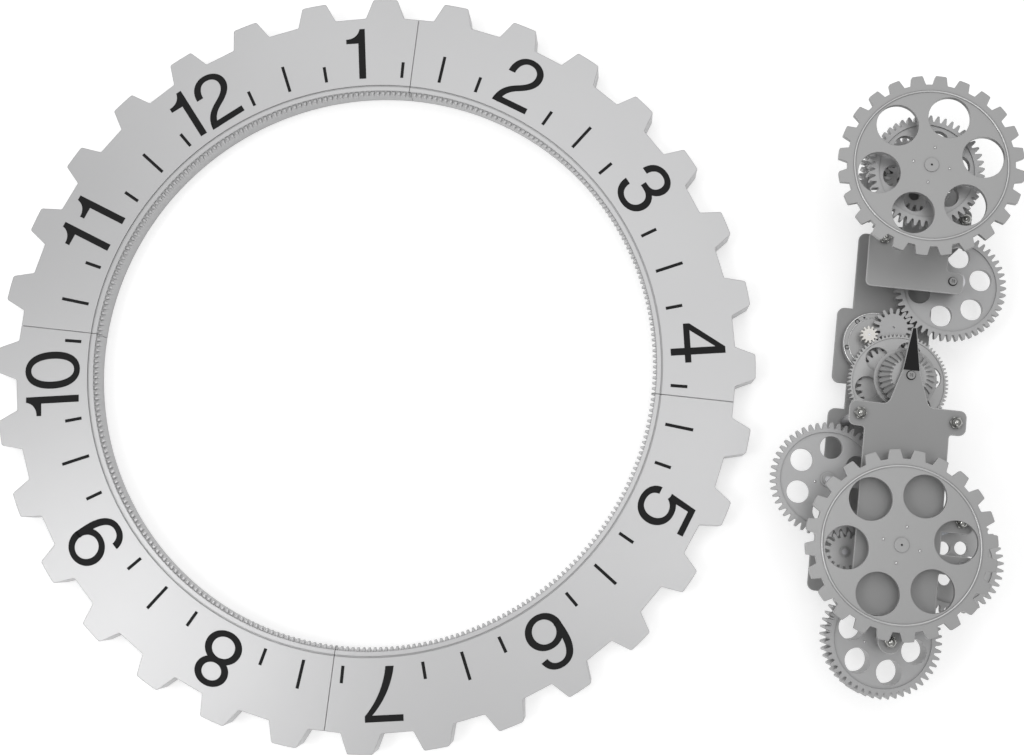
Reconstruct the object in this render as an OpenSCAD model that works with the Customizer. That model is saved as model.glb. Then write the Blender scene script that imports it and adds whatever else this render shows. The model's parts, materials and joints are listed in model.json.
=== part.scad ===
// Gear wall clock, shown taken apart: a toothed hour ring in four segments lies
// beside the geared movement that carries it. On the wall the ring hangs by its
// fine inner teeth on the ribbed pinion behind the pointer. Both lie on z = 0.

/* [Ring] */
// Diameter over the big outer teeth
ring_d = 540; // [400:1:700]
// Thickness of the ring from its back edge to its face
ring_t = 20; // [16:0.5:30]
// Number of big outer teeth
ring_teeth = 32; // [24:4:40]
// Height of a big tooth
ring_tooth_h = 14; // [8:0.5:20]
// Width of a big tooth across its tip
ring_tip_w = 17.7; // [8:0.1:22]
// Width of a big tooth at its foot
ring_foot_w = 28; // [14:0.1:34]
// Rounding of a big tooth's corners
ring_tooth_round = 2; // [0.5:0.1:3]
// Thickness of the ring's skirt and end walls
ring_wall = 2; // [1.2:0.1:3]
// Thickness of the ring's face
ring_face = 2; // [1.5:0.1:3]
// Number of fine inner teeth
fine_teeth = 324; // [280:4:324]
// Module of the fine inner teeth
fine_m = 1.23; // [0.9:0.01:1.23]
// Length of the fine teeth along the axis
fine_len = 4; // [3:0.5:12]
// Gap between two segments
seam_gap = 0.3; // [0.1:0.05:0.6]

/* [Layout] */
// Movement's lower axis, to the right of the ring's centre
move_dx = 352.8; // [345:0.1:420]
// Movement's lower axis, below the ring's centre
move_dy = 128.2; // [60:0.1:160]
// Turn of the movement from upright, clockwise, in degrees
move_turn = 6.32; // [0:0.01:12]
// Turn of the ring from a tooth pointing right, clockwise, in degrees
ring_turn = 0.78; // [0:0.01:11]

/* [Plates] */
// Thickness of the rear and middle plates
plate_t = 2; // [1.5:0.1:3]
// Thickness of the bridge and pointer plates
front_plate_t = 1.5; // [1:0.1:2]
// Space between the rear and middle plates
rear_space = 16; // [15.5:0.1:20]
// Space from the middle plate to the bridge plate
bridge_space = 30; // [30:0.1:31]
// Space from the middle plate to the pointer plate
pointer_space = 55.5; // [55:0.1:57]

/* [Wheels] */
// Radius of the display wheels over their teeth
show_r = 61; // [58:0.1:64]
// Thickness of the display wheels
show_t = 3.5; // [2.5:0.1:4]
// Distance from the lower to the top display wheel
show_span = 250; // [249:0.1:252]
// Overall depth, wall to display wheel
depth = 90; // [88:0.1:96]
// Module of the large gears
gear_m = 1.54; // [1.5:0.01:1.54]
// Module of the drive wheel and motor pinion
drive_m = 0.875; // [0.8:0.005:0.875]
// Teeth of the drive wheel
drive_teeth = 76; // [70:1:76]
// Teeth of the motor pinion
motor_teeth = 12; // [10:1:12]
// Thickness of the large gears
gear_t = 5; // [4:0.1:5.2]
// Play between meshing teeth, along the pitch circle
lash = 0.2; // [0.12:0.01:0.3]

/* [Motor and battery] */
// Radius of the motor case
motor_r = 21.7; // [21:0.1:23]
// Height of the motor case
motor_h = 8; // [7.5:0.1:8.2]
// Diameter of the battery cell
cell_d = 14.2; // [13.5:0.1:14.5]
// Length of the battery cell
cell_l = 50; // [44:0.1:51]

/* [Hidden] */
$fn = 64;

// Overrun of every cut, and the clearances that pieces share
cut = 1;
run_gap = 0.06;
side_gap = 0.5;
fit_gap = 0.3;
pressure = 20;
cap_steps = 3;
round_steps = 6;
cap_share = 0.6;
cap_flat_share = 0.3;
foot_share = 1.2;
deep_foot_share = 1.75;
fillet_share = 0.35;
neck_share = 0.1;

// Ring
ring_r = ring_d / 2;
ring_foot_r = ring_r - ring_tooth_h;
ring_foot_round = 1.3;
ring_pitch = 360 / ring_teeth;
fine_pitch_r = fine_teeth * fine_m / 2;
fine_tip_r = fine_pitch_r - fine_m;
lip_r = fine_pitch_r + fine_m * foot_share;
lip_w = 3.2;
fine_root_r = lip_r - run_gap;
fine_drop = 1.5;
fine_tip_share = 0.14;
fine_foot_share = 0.16;
groove_w = 1;
groove_d = 0.7;
boss_r = 4;
boss_side = 13;
boss_r_in = lip_r + lip_w + 10;
boss_r_out = ring_foot_r - ring_wall - 9;
joint_screw_r = 1.4;
joint_head_r = 2.8;
joint_head_t = 1;
joint_screw_l = 9;
joint_plate_t = 2;
joint_edge = 5.5;

// Places on the plan, from the lower display wheel's axis, y towards the top one
top_at = [0, show_span];
drive_at = [0, 111];
upper_teeth = 48;
small_teeth = 16;
transfer_teeth = 35;
middle_teeth = 28;
idle_teeth = 12;
lower_teeth = 22;
centre_teeth = 14;
right_teeth = 41;
function reach(a, b) = (a + b) * gear_m / 2;
// Point at distances ra and rb from a and b, on the left of the way from a to b
function meet(a, b, ra, rb) =
    let (d = norm(b - a), u = (b - a) / d, k = (d * d + ra * ra - rb * rb) / (2 * d),
        h = sqrt(ra * ra - k * k))
    a + u * k + [-u.y, u.x] * h;
motor_out_turn = 125.4;
upper_pinion_turn = 97.76;
idler_turn = -99.97;
lower_left_turn = -138.2;
idle_turn = 165.5;
function polar(r, a) = [r * cos(a), r * sin(a)];
motor_out_at = drive_at + polar((drive_teeth + motor_teeth) * drive_m / 2, motor_out_turn);
upper_pinion_at = drive_at + polar(reach(transfer_teeth, small_teeth), upper_pinion_turn);
upper_gear_at = meet(top_at, upper_pinion_at, reach(upper_teeth, upper_teeth),
    reach(upper_teeth, small_teeth));
idle_at = top_at + polar(reach(middle_teeth, idle_teeth), idle_turn);
idler_at = drive_at + polar(reach(transfer_teeth, small_teeth), idler_turn);
lower_left_at = idler_at + polar(reach(small_teeth, upper_teeth), lower_left_turn);
left_at = meet([0, 0], lower_left_at, reach(lower_teeth, small_teeth),
    reach(small_teeth, upper_teeth));
bottom_drop = 61.7;
bottom_at = [0, -bottom_drop];
right_at = meet([0, 0], bottom_at, reach(centre_teeth, right_teeth),
    reach(right_teeth, upper_teeth));
motor_at = [-16.5, 138.5];

// Heights
middle_z = plate_t + rear_space;
deck_z = middle_z + plate_t;
bridge_z = deck_z + bridge_space;
bridge_top = bridge_z + front_plate_t;
pointer_z = deck_z + pointer_space;
pointer_top = pointer_z + front_plate_t;
motor_top = deck_z + motor_h;
low_z = motor_top + side_gap;
low_top = low_z + gear_t;
drive_t = 3.5;
drive_z = low_top + 2 * side_gap;
drive_top = drive_z + drive_t;
mid_z = drive_top + gear_t;
mid_top = mid_z + gear_t;
high_z = bridge_z;
high_top = high_z + gear_t;
flange_t = 2;
pinion_len = 6;
cone_len = 6;
cone_clear = 3.5;
cone_top = pointer_z - cone_clear;
flange_z = cone_top - cone_len - pinion_len - flange_t;
show_z = depth - show_t;
middle_gear_z = bridge_z + plate_t + side_gap;
front_gear_t = 6;
front_gear_z = pointer_z - front_gear_t + side_gap;
bottom_gear_t = 20;

// Tooth phases: an angle at which a tooth of the gear is centred
show_teeth = 24;
show_phase = 8.5;
top_show_phase = 13.3;
upper_phase = 3.5;
lower_left_phase = 0.4;
bottom_phase = 2;
drive_phase = 3.9;
// Phase of a gear with nb teeth that meshes with one of na teeth at phase pa
function mesh(a, na, pa, b, nb) =
    let (t = atan2(b.y - a.y, b.x - a.x), f = na * (t - pa) / 360)
    t + 180 - (0.5 - f) * 360 / nb;
upper_pinion_phase = mesh(upper_gear_at, upper_teeth, upper_phase, upper_pinion_at, small_teeth);
transfer_phase = mesh(upper_pinion_at, small_teeth, upper_pinion_phase, drive_at, transfer_teeth);
top_rear_phase = mesh(upper_gear_at, upper_teeth, upper_phase, top_at, upper_teeth);
idle_phase = mesh(top_at, middle_teeth, 0, idle_at, idle_teeth);
idler_low_phase = mesh(drive_at, transfer_teeth, transfer_phase, idler_at, small_teeth);
idler_high_phase = mesh(lower_left_at, upper_teeth, lower_left_phase, idler_at, small_teeth);
left_phase = mesh(lower_left_at, upper_teeth, lower_left_phase, left_at, small_teeth);
lower_phase = mesh(left_at, small_teeth, left_phase, [0, 0], lower_teeth);
right_phase = mesh(bottom_at, upper_teeth, bottom_phase, right_at, right_teeth);
centre_phase = mesh(right_at, right_teeth, right_phase, [0, 0], centre_teeth);
motor_out_phase = mesh(drive_at, drive_teeth, drive_phase, motor_out_at, motor_teeth);

// Shafts, hubs and holes
stud_r = 2;
arbor_r = 2.5;
hub_r = 5;
bush_r = 4.5;
bush_rim_r = 5.5;
bush_rim_t = 1;
web_drop = 1;
web_hole_r = 7.6;
web_hole_c = 21.6;
web_rim_r = 31.8;
clip_r = 3.6;
clip_t = 0.6;

// Rounds one corner b between a and c with radius r
function corner(a, b, c, r) = r == 0 ? [b] :
    let (u = (a - b) / norm(a - b), v = (c - b) / norm(c - b), half = acos(u * v) / 2,
        mid = b + (u + v) / norm(u + v) * r / sin(half),
        p = b + u * r / tan(half) - mid, q = b + v * r / tan(half) - mid,
        from = atan2(p.y, p.x), way = atan2(p.x * q.y - p.y * q.x, p * q))
    [for (k = [0:round_steps]) mid + polar(r, from + way * k / round_steps)];
// Outline through corners [x, y, rounding]
function soften(c) = [for (i = [0:len(c) - 1])
    let (a = c[(i + len(c) - 1) % len(c)], b = c[i], d = c[(i + 1) % len(c)])
    each corner([a.x, a.y], [b.x, b.y], [d.x, d.y], b.z)];

// Gear outline: involute flanks with the play taken off, rounded tips and feet
function roll(base, r) = let (t = sqrt(max((r / base) ^ 2 - 1, 0))) t * 180 / PI - atan(t);
function gear_points(n, m, phase) =
    let (pitch = n * m / 2, base = pitch * cos(pressure), tip = pitch + m,
        foot = pitch - m * (m < gear_m ? foot_share : deep_foot_share),
        wide = 90 / n - lash * min(1, m / gear_m) / pitch * 90 / PI + roll(base, pitch),
        neck = foot + m * fillet_share, low = max(base, neck), cap = tip - m * cap_share,
        thin = wide - roll(base, low), crown = wide - roll(base, cap),
        side = concat([[foot, thin + m * fillet_share / foot * 90 / PI]],
            low - neck > m * neck_share ? [[neck, thin]] : [],
            [[low, thin], [pitch, wide - roll(base, pitch)], [cap, crown]],
            [for (k = [1:cap_steps]) let (a = 90 * k / cap_steps)
                [cap + (tip - cap) * sin(a),
                    crown * (cap_flat_share + (1 - cap_flat_share) * cos(a))]]),
        last = len(side) - 1)
    [for (i = [0:n - 1]) let (c = phase + 360 * i / n)
        each concat([for (s = side) polar(s[0], c - s[1])],
            [for (k = [last:-1:0]) polar(side[k][0], c + side[k][1])])];

// Outline with straight-sided teeth, each corner rounded; grown inwards by inset
function block_points(n, tip, foot, tip_w, foot_w, tip_round, foot_round, inset, phase) =
    let (w = tip_w / 2 - inset, f = foot_w / 2 - inset, t = tip - inset, g = foot - inset,
        one = [[g * cos(asin(f / g)), -f, foot_round], [t * cos(asin(w / t)), -w, tip_round],
            [t, 0, 0], [t * cos(asin(w / t)), w, tip_round],
            [g * cos(asin(f / g)), f, foot_round]])
    soften([for (i = [0:n - 1]) let (c = phase + 360 * i / n)
        for (p = one) [p.x * cos(c) - p.y * sin(c), p.x * sin(c) + p.y * cos(c), p.z]]);

// The ring's own place and the movement's, with the whole centred on x
function across(p) = p.x * cos(move_turn) + p.y * sin(move_turn);
gear_reach = (upper_teeth / 2 + 1) * gear_m;
right_reach = max(across(top_at) + show_r, across(upper_gear_at) + gear_reach);
ring_x = (ring_r - move_dx - right_reach) / 2;
module at_ring() {
    translate([ring_x, 0, 0]) rotate(-ring_turn) children();
}
module at_move(p = [0, 0], z = 0) {
    translate([ring_x + move_dx, -move_dy, 0]) rotate(-move_turn)
        translate([p.x, p.y, z]) children();
}

// A sector of the ring from seam to seam, drawn in by gap at each end
module sector(i, gap, z0, z1) {
    from = -ring_pitch / 2 + 90 * i;
    side = gap / 2 * [cos(from + 45), sin(from + 45)] / sin(45);
    far = 2 * ring_r;
    translate([side.x, side.y, z0]) linear_extrude(z1 - z0)
        polygon([[0, 0], polar(far, from), polar(far, from + 45), polar(far, from + 90)]);
}
// Screw places at both ends of segment i
module at_bosses(i) {
    for (end = [0, 1])
        for (r = [boss_r_in, boss_r_out])
            rotate(-ring_pitch / 2 + 90 * (i + end))
                translate([r, boss_side * (1 - 2 * end), 0]) children();
}
module ring_segment(i) {
    fine = 360 / fine_teeth;
    color("gainsboro") at_ring() difference() {
        intersection() {
            linear_extrude(ring_t) polygon(block_points(ring_teeth, ring_r, ring_foot_r,
                ring_tip_w, ring_foot_w, ring_tooth_round, ring_foot_round, 0, 0));
            sector(i, seam_gap, 0, ring_t);
        }
        translate([0, 0, -cut]) cylinder(h = ring_t - fine_drop - fine_len + cut, r = lip_r);
        translate([0, 0, ring_t - fine_drop]) cylinder(h = fine_drop + cut, r = lip_r);
        translate([0, 0, ring_t - fine_drop - fine_len - run_gap])
            linear_extrude(fine_len + 2 * run_gap) polygon(concat([[0, 0]],
                [for (k = [0:fine_teeth / 4 + 1])
                    let (a = fine * (k - 1) - ring_pitch / 2 + 90 * i)
                    each [polar(fine_tip_r, a - fine * fine_tip_share),
                        polar(fine_tip_r, a + fine * fine_tip_share),
                        polar(fine_root_r, a + fine * (0.5 - fine_foot_share)),
                        polar(fine_root_r, a + fine * (0.5 + fine_foot_share))]]));
        translate([0, 0, ring_t - groove_d]) difference() {
            cylinder(h = groove_d + cut, r = lip_r + lip_w + groove_w);
            cylinder(h = groove_d + cut, r = lip_r + lip_w);
        }
        difference() {
            intersection() {
                translate([0, 0, -cut]) linear_extrude(ring_t - ring_face + cut)
                    polygon(block_points(ring_teeth, ring_r, ring_foot_r, ring_tip_w,
                        ring_foot_w, ring_tooth_round - ring_wall / 2, ring_foot_round,
                        ring_wall, 0));
                union() {
                    sector(i, seam_gap + 2 * ring_wall, -cut, ring_t);
                    sector(i, 0, -cut, joint_plate_t);
                }
            }
            translate([0, 0, -2 * cut]) cylinder(h = ring_t, r = lip_r + lip_w);
            at_bosses(i) translate([0, 0, joint_plate_t])
                cylinder(h = ring_t - joint_plate_t, r = boss_r);
        }
        at_bosses(i) cylinder(h = joint_screw_l, r = joint_screw_r);
    }
}

module ring_segment_1() ring_segment(0);
module ring_segment_2() ring_segment(1);
module ring_segment_3() ring_segment(2);
module ring_segment_4() ring_segment(3);

// Plates that join the segments from behind, sunk in their back edges
module ring_joint_plates() {
    color("silver") at_ring() for (i = [0:3]) rotate(-ring_pitch / 2 + 90 * i) difference() {
        in = boss_r_in - joint_edge;
        out = boss_r_out + joint_edge;
        half = boss_side + joint_edge;
        linear_extrude(joint_plate_t) polygon(soften([[in, -half, boss_r], [out, -half, boss_r],
            [out, half, boss_r], [in, half, boss_r]]));
        for (r = [boss_r_in, boss_r_out])
            for (s = [-1, 1])
                translate([r, s * boss_side, -cut]) {
                    cylinder(h = joint_plate_t + 2 * cut, r = joint_screw_r + fit_gap / 2);
                    cylinder(h = joint_head_t + cut, r = joint_head_r + fit_gap / 2);
                }
    }
}
module ring_joint_screws() {
    color("dimgray") at_ring() for (i = [0:3]) rotate(-ring_pitch / 2 + 90 * i)
        for (r = [boss_r_in, boss_r_out])
            for (s = [-1, 1])
                translate([r, s * boss_side, 0]) {
                    cylinder(h = joint_head_t, r = joint_head_r);
                    cylinder(h = joint_screw_l - fit_gap, r = joint_screw_r - run_gap);
                }
}

// Common shapes of the movement
module post(p, z0, z1, r) {
    at_move(p, z0) cylinder(h = z1 - z0, r = r);
}
module bore(p, z0, z1, r) {
    at_move(p, z0 - cut) cylinder(h = z1 - z0 + 2 * cut, r = r);
}
module gear(p, n, m, phase, z0, t) {
    at_move(p, z0) linear_extrude(t) polygon(gear_points(n, m, phase));
}
// Six round holes through a web, and the sunk web inside the rim
module six_holes(p, z0, z1, r, circle, turn) {
    for (k = [0:5]) bore(p + polar(circle, turn + 60 * k), z0, z1, r);
}
module sunk_web(p, z, drop, rim, hub) {
    at_move(p, z - drop) difference() {
        cylinder(h = drop + cut, r = rim);
        cylinder(h = drop + cut, r = hub);
    }
}
// A large gear with a sunk web, six holes, a hub that runs from z0 to z1, and a bore
module webbed_gear(p, phase, z, t, z0, z1, turn, r) {
    difference() {
        union() {
            difference() {
                gear(p, upper_teeth, gear_m, phase, z, t);
                sunk_web(p, z + t, web_drop, web_rim_r, hub_r);
                six_holes(p, z, z + t, web_hole_r, web_hole_c, turn);
            }
            post(p, z0, z1, hub_r);
        }
        bore(p, z0, z1, r + run_gap);
    }
}

// Rear plate, with a window for the battery and two keyholes
rear_plate_left = -27;
rear_plate_right = 16;
rear_plate_low = -28;
rear_plate_high = 206;
rear_round = 6;
key_x = -5;
key_y = [188, -13];
key_r = 4.5;
key_slot_r = 2;
key_rise = 8;
spacer_x = [-21, 10];
spacer_y = [198, 100, -20];
spacer_r = 4;
rivet_r = 1.5;
box_at = [-4, 49];
box_wall = 1.5;
cell_play = 1;
box_in_w = cell_d + cell_play;
box_in_l = cell_l + 2 * cell_play;
window_ledge = 1;
module spacer_places() {
    for (x = spacer_x)
        for (y = spacer_y) at_move([x, y]) children();
}
module rear_plate() {
    w = box_in_w + 2 * window_ledge;
    l = box_in_l + 2 * window_ledge;
    color("darkgray") difference() {
        at_move() linear_extrude(plate_t) polygon(soften([
            [rear_plate_left, rear_plate_low, rear_round],
            [rear_plate_right, rear_plate_low, rear_round],
            [rear_plate_right, rear_plate_high, rear_round],
            [rear_plate_left, rear_plate_high, rear_round]]));
        at_move(box_at, -cut) translate([-w / 2, -l / 2, 0]) cube([w, l, plate_t + 2 * cut]);
        for (y = key_y) {
            bore([key_x, y], 0, plate_t, key_r);
            bore([key_x, y + key_rise], 0, plate_t, key_slot_r);
            at_move([key_x - key_slot_r, y], -cut)
                cube([2 * key_slot_r, key_rise, plate_t + 2 * cut]);
        }
        spacer_places() translate([0, 0, -cut])
            cylinder(h = plate_t + 2 * cut, r = rivet_r + run_gap);
    }
}
module plate_spacers() {
    color("silver") spacer_places() {
        translate([0, 0, plate_t]) cylinder(h = rear_space, r = spacer_r);
        translate([0, 0, run_gap]) cylinder(h = deck_z - 2 * run_gap, r = rivet_r);
    }
}

// Middle plate, which carries the motor and the studs
foot_left = -47;
foot_high = -8;
strip_left = -32;
strip_right = 22.5;
strip_high = 218;
strip_step = 196;
lobe_right = 38.5;
lobe_low = 214;
lobe_high = 231;
lobe_left = 28;
lobe_foot = 12;
tab_left = -42.5;
tab_low = 109.6;
tab_high = 163.1;
tab_round = 5;
lower_left_edge = -43;
lower_right_edge = 28;
lower_low = -35.5;
lower_high = 91.6;
ear_right = 37;
ear_low = 74;
ear_round = 4;
arm_half = 8;
lobe_r = 6.5;
foot_r = 4;
foot_t = 1;
spigot_r = 1.2;
m4_r = 2;
pillar_r = 3.2;
nut_sides = [[-31, 82.7], [31, 82.7]];
side_nut = [39.3, 18.8];
bridge_nuts = [[-19.7, 207.6], [33.5, 225.4]];
stud_places = [idler_at, lower_left_at, left_at];
module middle_plate() {
    color("darkgray") difference() {
        at_move([0, 0], middle_z) linear_extrude(plate_t) union() {
            polygon(soften([[strip_left, ear_low, 0], [strip_right, ear_low, 0],
                [strip_right, strip_step, 0], [lobe_right, lobe_low, ear_round],
                [lobe_right, lobe_high, ear_round], [lobe_left, lobe_high, ear_round],
                [lobe_foot, strip_high, 0], [strip_left, strip_high, tab_round]]));
            polygon(soften([[tab_left, tab_low, tab_round], [0, tab_low, 0],
                [0, tab_high, 0], [tab_left, tab_high, tab_round]]));
            polygon(soften([[foot_left, lower_low, tab_round],
                [lower_right_edge, lower_low, tab_round],
                [lower_right_edge, ear_low, 0], [ear_right, ear_low, ear_round],
                [ear_right, lower_high, ear_round], [lower_left_edge, lower_high, tab_round],
                [lower_left_edge, foot_high, 0], [foot_left, foot_high, 0]]));
            translate([-arm_half, -bottom_drop]) square([2 * arm_half, bottom_drop]);
            translate(bottom_at) circle(arm_half);
            translate(lower_left_at) circle(lobe_r);
        }
        spacer_places() translate([0, 0, middle_z - cut])
            cylinder(h = plate_t + 2 * cut, r = rivet_r + run_gap);
        for (p = concat(stud_places, [drive_at])) bore(p, middle_z, deck_z, spigot_r + run_gap);
        for (p = concat(nut_sides, [bottom_at])) bore(p, middle_z, deck_z, m4_r + run_gap);
        for (p = bridge_nuts) bore(p, middle_z, deck_z, spigot_r + run_gap);
        bore([0, 0], middle_z, deck_z, bush_r + run_gap);
    }
}

// Bridge plate, which carries the top arbor and the upper gear's stud
bridge_left = -30;
bridge_right = 35.5;
bridge_low = 173.7;
bridge_step_low = 188.5;
bridge_step_x = 24.3;
bridge_ear_right = 38;
bridge_ear_low = 219;
bridge_left_high = 212;
bridge_high = 233;
bridge_round = 4;
neck_half = 8;
arm_w = 10;
upper_screw_at = [28.4, 182.2];
screw_r = 1.25;
screw_l = 6;
screw_head_r = 2.6;
screw_head_t = 1.5;
m4_step = 0.7;
slim_r = 2.2;
nut_hold = 4;
module bridge_plate() {
    color("silver") difference() {
        at_move([0, 0], bridge_z) linear_extrude(front_plate_t) union() {
            polygon(soften([[bridge_left, bridge_low, bridge_round],
                [bridge_right, bridge_low, bridge_round],
                [bridge_right, bridge_step_low, bridge_round],
                [bridge_step_x, bridge_step_low, bridge_round / 2],
                [bridge_step_x, bridge_ear_low, bridge_round / 2],
                [bridge_ear_right, bridge_ear_low, bridge_round],
                [bridge_ear_right, bridge_high, bridge_round],
                [neck_half, bridge_high, 0], [neck_half, show_span, 0],
                [-neck_half, show_span, 0], [-neck_half, bridge_left_high, 0],
                [bridge_left, bridge_left_high, bridge_round]]));
            translate(top_at) circle(neck_half);
            translate(top_at) rotate(idle_turn) translate([0, -arm_w / 2])
                square([norm(idle_at - top_at), arm_w]);
            translate(idle_at) circle(arm_w / 2);
        }
        for (p = bridge_nuts) bore(p, bridge_z, bridge_top, spigot_r + run_gap + m4_step);
        bore(top_at, bridge_z, bridge_top, bush_r + run_gap);
        bore(idle_at, bridge_z, bridge_top, spigot_r + run_gap);
        bore(upper_screw_at, bridge_z, bridge_top, screw_r + run_gap);
    }
}
module bridge_pillars() {
    color("silver") for (p = bridge_nuts) {
        post(p, middle_z + run_gap, deck_z, spigot_r);
        post(p, deck_z, bridge_z, slim_r);
        post(p, bridge_z, bridge_top + nut_hold, spigot_r + m4_step);
    }
}

// Pointer plate, whose neck ends behind the pointer
neck_low = 91;
neck_low_half = 13.1;
neck_high = 114.4;
neck_high_half = 5.6;
tip_high = 143;
tip_half = 1.5;
neck_round = 5;
wing = 38;
wing_low = 74.5;
wing_round = 4.5;
body_half = 27.4;
body_foot_round = 2;
body_low = -46;
body_round = 6;
hook_right = 47;
hook_low = 11.5;
hook_high = 26;
toe_right = 50;
toe_low = -15.5;
toe_high = -3;
tail_r = 7.7;
module pointer_plate() {
    color("darkgray") difference() {
        at_move([0, 0], pointer_z) linear_extrude(front_plate_t) union() {
            polygon(soften([[-body_half, body_low, body_round],
                [body_half, body_low, body_round],
                [body_half, toe_low, 0], [toe_right, toe_low, ear_round],
                [toe_right, toe_high, ear_round], [body_half, toe_high, 0],
                [body_half, hook_low, 0], [hook_right, hook_low, ear_round],
                [hook_right, hook_high, ear_round], [body_half, hook_high, 0],
                [body_half, wing_low, body_foot_round], [wing, wing_low, wing_round],
                [wing, neck_low, wing_round], [neck_low_half, neck_low, neck_round],
                [neck_high_half, neck_high, 0], [tip_half, tip_high, tip_half / 2],
                [-tip_half, tip_high, tip_half / 2], [-neck_high_half, neck_high, 0],
                [-neck_low_half, neck_low, neck_round], [-wing, neck_low, wing_round],
                [-wing, wing_low, wing_round],
                [-body_half, wing_low, body_foot_round]]));
            translate([-tail_r, -bottom_drop]) square([2 * tail_r, bottom_drop]);
            translate(bottom_at) circle(tail_r);
        }
        for (p = concat(nut_sides, [bottom_at, side_nut]))
            bore(p, pointer_z, pointer_top, m4_r + run_gap);
        bore([0, 0], pointer_z, pointer_top, bush_r + run_gap);
        bore(drive_at, pointer_z, pointer_top, screw_r + run_gap);
        bore(right_at, pointer_z, pointer_top, spigot_r + run_gap);
    }
}
module pointer_pillars() {
    color("silver") for (p = nut_sides) {
        post(p, middle_z + run_gap, deck_z, m4_r);
        post(p, deck_z, pointer_z, pillar_r);
        post(p, pointer_z, pointer_top + nut_hold, m4_r);
    }
}
pointer_t = 0.4;
pointer_high = 142.4;
pointer_foot_half = 5.2;
pointer_tip_half = 0.9;
module pointer() {
    color("black") at_move([0, 0], pointer_top) linear_extrude(pointer_t)
        polygon([[-pointer_foot_half, neck_high], [pointer_foot_half, neck_high],
            [pointer_tip_half, pointer_high], [-pointer_tip_half, pointer_high]]);
}

// Acorn nuts on the pillars
nut_r = 4.04;
nut_hex_t = 3.2;
nut_dome_r = 3.5;
module acorn_nut(p, z, r) {
    at_move(p, z) difference() {
        union() {
            cylinder(h = nut_hex_t, r = nut_r, $fn = 6);
            translate([0, 0, nut_hex_t]) difference() {
                sphere(nut_dome_r);
                translate([0, 0, -nut_dome_r - cut]) cylinder(h = nut_dome_r + cut, r = nut_r);
            }
        }
        translate([0, 0, -cut]) cylinder(h = nut_hold + fit_gap + cut, r = r + run_gap);
    }
}
module acorn_nuts() {
    color("gainsboro") {
        for (p = concat(nut_sides, [bottom_at, side_nut])) acorn_nut(p, pointer_top, m4_r);
        for (p = bridge_nuts) acorn_nut(p, bridge_top, spigot_r + m4_step);
    }
}
slot_w = 0.8;
slot_d = 0.7;
slot_turns = [45, 135];
module pan_screws() {
    color("gainsboro") for (s = [[drive_at, pointer_top], [upper_screw_at, bridge_top]])
        at_move(s[0], s[1]) {
            difference() {
                cylinder(h = screw_head_t, r = screw_head_r);
                for (a = slot_turns) rotate(a)
                    translate([-screw_head_r / 2, -slot_w / 2, screw_head_t - slot_d])
                        cube([screw_head_r, slot_w, slot_d + cut]);
            }
            translate([0, 0, -screw_l]) cylinder(h = screw_l, r = screw_r);
        }
}

// Drive train: the axle is fixed, the moulded gears turn on it
drive_rim_r = 31.2;
drive_hole_r = 8.1;
drive_hole_c = 21.5;
drive_hole_turn = 15;
shoulder_r = 7.5;
module drive_axle() {
    color("silver") difference() {
        union() {
            post(drive_at, middle_z + run_gap, deck_z, spigot_r);
            post(drive_at, deck_z, deck_z + foot_t, foot_r + foot_t);
            post(drive_at, deck_z, pointer_z, arbor_r);
        }
        at_move(drive_at, pointer_z - screw_l) cylinder(h = screw_l + cut, r = screw_r + run_gap);
    }
}
module drive_wheel() {
    color("silver") difference() {
        gear(drive_at, drive_teeth, drive_m, drive_phase, drive_z, drive_t);
        sunk_web(drive_at, drive_top, web_drop / 2, drive_rim_r, shoulder_r);
        six_holes(drive_at, drive_z, drive_top, drive_hole_r, drive_hole_c, drive_hole_turn);
        bore(drive_at, drive_z, drive_top, hub_r + run_gap);
    }
}
module transfer_gear() {
    color("silver") difference() {
        union() {
            gear(drive_at, transfer_teeth, gear_m, transfer_phase, low_z, gear_t);
            post(drive_at, deck_z + foot_t + fit_gap, drive_z, shoulder_r);
            post(drive_at, drive_z, cone_top, hub_r);
        }
        bore(drive_at, deck_z, cone_top, arbor_r + run_gap);
    }
}
// Pinion for the ring: a flange, a straight part and a cone with ribs
ring_pinion_teeth = 28;
ring_pinion_phase = 12.4;
flange_r = 20.8;
cone_top_r = 12.6;
rib_gap_w = 1.3;
rib_gap_d = 1;
module ring_pinion() {
    tip = (ring_pinion_teeth / 2 + 1) * fine_m;
    slope = atan2(cone_len, cone_top_r - tip);
    color("silver") difference() {
        union() {
            post(drive_at, drive_top, flange_z, hub_r + m4_r);
            post(drive_at, flange_z, flange_z + flange_t, flange_r);
            gear(drive_at, ring_pinion_teeth, fine_m, ring_pinion_phase, flange_z,
                pinion_len + flange_t);
            at_move(drive_at, cone_top - cone_len) difference() {
                cylinder(h = cone_len, r1 = tip, r2 = cone_top_r);
                for (k = [1:ring_pinion_teeth])
                    rotate(ring_pinion_phase + 360 * (k - 0.5) / ring_pinion_teeth)
                        translate([tip, 0, 0]) rotate([0, -slope, 0])
                            translate([-tip, -rib_gap_w / 2, -cut])
                                cube([3 * tip, rib_gap_w, rib_gap_d + cut]);
            }
        }
        bore(drive_at, drive_top, cone_top, hub_r + run_gap);
    }
}

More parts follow.
